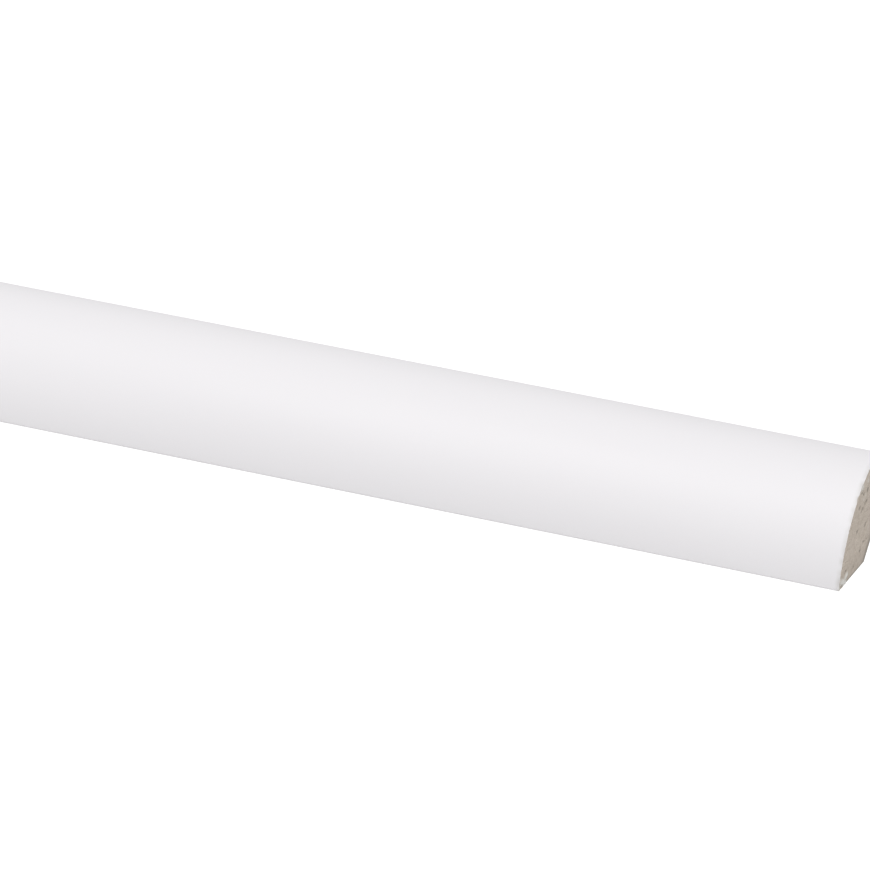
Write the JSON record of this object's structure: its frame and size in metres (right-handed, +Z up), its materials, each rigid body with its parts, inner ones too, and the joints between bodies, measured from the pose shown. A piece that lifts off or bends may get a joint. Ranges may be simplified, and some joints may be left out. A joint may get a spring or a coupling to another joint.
{
  "type": "quarter round moulding",
  "caption": "Straight quarter round trim stick: a quarter-circle white face between two square legs with a bevelled heel, covers the joint of wall and floor.",
  "frame": {"origin": "under the middle of the stick, on the floor, halfway across the floor leg", "axes": "+X along the stick, +Y towards the wall behind the wall leg, +Z up from the floor"},
  "size_m": [2.4, 0.018, 0.018],
  "materials": {
    "finished_fibreboard": "smooth white factory finish on the round face, raw grey-beige fibreboard on the cut ends and the backs of the legs"
  },
  "bodies": {
    "root": {"quarter_round": "finished_fibreboard"}
  },
  "joints": []
}
